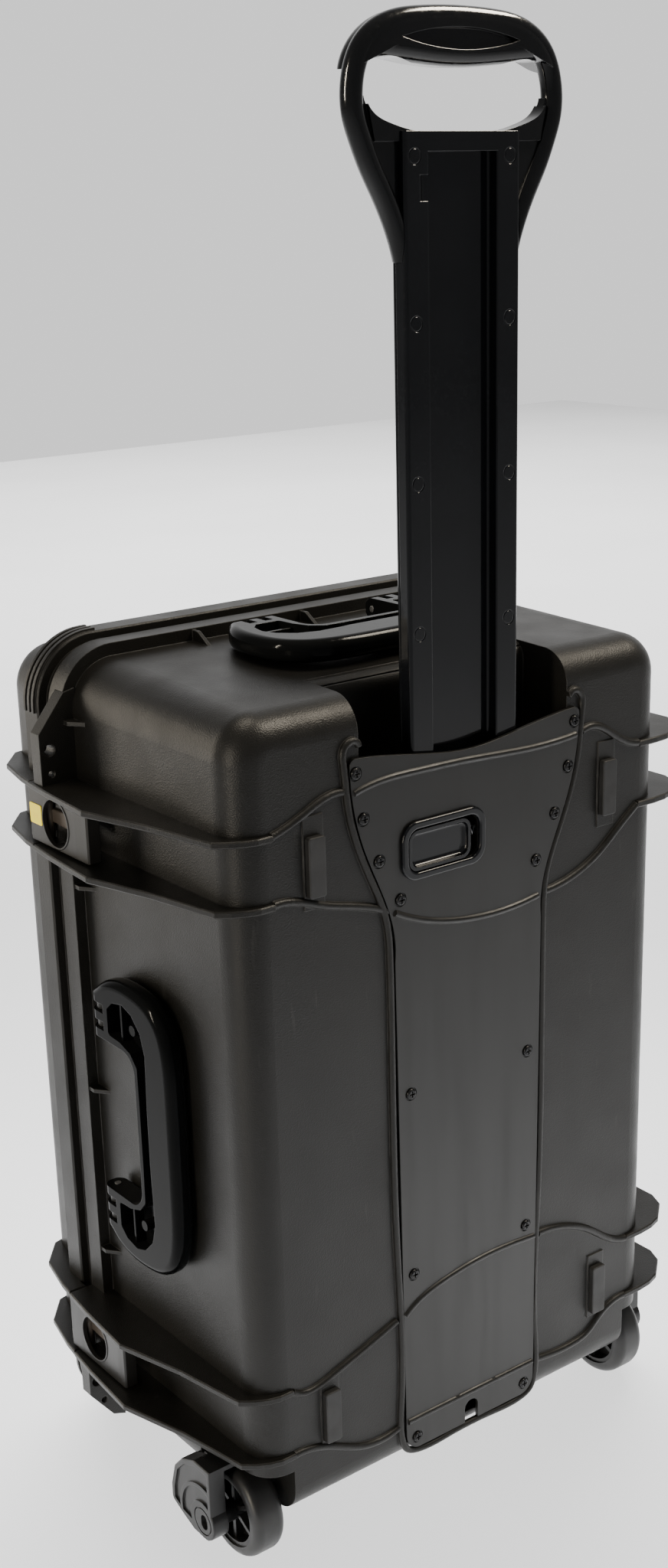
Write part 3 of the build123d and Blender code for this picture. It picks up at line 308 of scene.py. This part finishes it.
# ---------------------------------------------------------------- floor and light
FLOOR_REACH = 6.0          # m from the middle to each edge
FLOOR_CORNERS = ((-1, -1), (1, -1), (1, 1), (-1, 1))
BEHIND = Vector((-math.sin(AZIMUTH), -math.cos(AZIMUTH), 0.0))
MIDDLE = (0.0, 0.0, 0.45)
WARM = (1.0, 0.9, 0.74)
WHITE = (1.0, 1.0, 1.0)
POOL_HEIGHT = 3.0
GLOSSY = ("pull_tube", "pull_grip", "side_handle", "top_handle")


def stage_floor():
    """Wide flat pale floor."""
    mesh = bpy.data.meshes.new("floor")
    work = bmesh.new()
    work.faces.new([work.verts.new((x * FLOOR_REACH, y * FLOOR_REACH, 0.0)) for x, y in FLOOR_CORNERS])
    work.to_mesh(mesh)
    work.free()
    floor = bpy.data.objects.new("floor", mesh)
    everything.objects.link(floor)
    look = Look("floor_paper")
    tint = look.blend(look.remap(look.noise(1.5), 0.3, 0.7), (0.66, 0.66, 0.66), (0.70, 0.70, 0.70))
    floor.data.materials.append(look.finish(tint, 0.75))
    return floor


def studio_world(front, back):
    """Bright surroundings behind the object and a dim room on the other side."""
    world = bpy.data.worlds.new("studio")
    world.use_nodes = True
    tree = world.node_tree
    where = tree.nodes.new("ShaderNodeTexCoord")
    facing = tree.nodes.new("ShaderNodeVectorMath")
    facing.operation = "DOT_PRODUCT"
    facing.inputs[1].default_value = BEHIND
    ramp = tree.nodes.new("ShaderNodeMapRange")
    ramp.interpolation_type = "SMOOTHSTEP"
    for key, number in zip(RANGE_SOCKETS, (0.4, 0.9, front, back)):
        ramp.inputs[key].default_value = number
    background = tree.nodes["Background"]
    background.inputs["Color"].default_value = (*WHITE, 1.0)
    tree.links.new(where.outputs["Generated"], facing.inputs[0])
    tree.links.new(facing.outputs["Value"], ramp.inputs["Value"])
    tree.links.new(ramp.outputs["Result"], background.inputs["Strength"])
    bpy.context.scene.world = world


def lit_group(name, pieces):
    """The only pieces that some lamps light."""
    collection = bpy.data.collections.new(name)
    for piece in pieces:
        collection.objects.link(piece)
    return collection


def softbox(name, group, power, place, aim, size, colour=WARM):
    """Rectangular lamp that lights one group and doesn't show in the picture."""
    data = bpy.data.lights.new(name, "AREA")
    data.shape = "RECTANGLE"
    data.size, data.size_y = size
    data.energy = power
    data.color = colour
    lamp = bpy.data.objects.new(name, data)
    everything.objects.link(lamp)
    lamp.location = place
    lamp.rotation_euler = (Vector(aim) - Vector(place)).to_track_quat("-Z", "Y").to_euler()
    lamp.visible_camera = False
    lamp.light_linking.receiver_collection = group


def floor_pool(name, x, y, radius, power):
    """Soft round pool of light on the floor, which the case doesn't shade."""
    data = bpy.data.lights.new(name, "SPOT")
    data.spot_size = 2 * math.atan(radius / POOL_HEIGHT)
    data.spot_blend = 1.0
    data.shadow_soft_size = 0.5
    data.energy = power
    lamp = bpy.data.objects.new(name, data)
    everything.objects.link(lamp)
    lamp.location = (x, y, POOL_HEIGHT)
    lamp.light_linking.receiver_collection = floor_only
    lamp.light_linking.blocker_collection = floor_only


floor_only = lit_group("floor_only", [stage_floor()])
satin_only = lit_group("satin_only", [piece for node, piece in nodes.items() if node not in GLOSSY])
gloss_only = lit_group("gloss_only", [nodes[node] for node in GLOSSY])
studio_world(front=0.2, back=1.05)
softbox("left_box", satin_only, 17.0, place=(1.4, -1.7, 0.8), aim=MIDDLE, size=(0.7, 1.6))
softbox("corner_box", satin_only, 18.0, place=(2.1, 0.7, 0.7), aim=(0.0, 0.0, 0.4), size=(0.25, 1.3))
softbox("edge_box", satin_only, 34.0, place=(-1.2, 0.8, 2.3), aim=(0.0, 0.0, 0.6), size=(0.7, 0.7))
softbox("over_box", satin_only, 20.0, place=(0.0, 0.0, 2.8), aim=MIDDLE, size=(1.0, 0.7))
softbox("edge_strip", gloss_only, 60.0, place=(2.2, -0.3, 1.6), aim=(0.1, 0.0, 0.5), size=(0.1, 1.2))
softbox("grip_box", gloss_only, 110.0, place=(-1.3, 0.4, 2.5), aim=(0.0, 0.1, 0.9), size=(0.9, 0.6))
floor_pool("near_pool", 0.0, 0.0, 1.4, 760.0)
floor_pool("right_pool", -1.1, 1.25, 1.0, 200.0)
softbox("far_floor_box", floor_only, 700.0, (-2.4, -3.2, 3.6), (-2.6, -3.5, 0.0), (5.0, 5.0), WHITE)
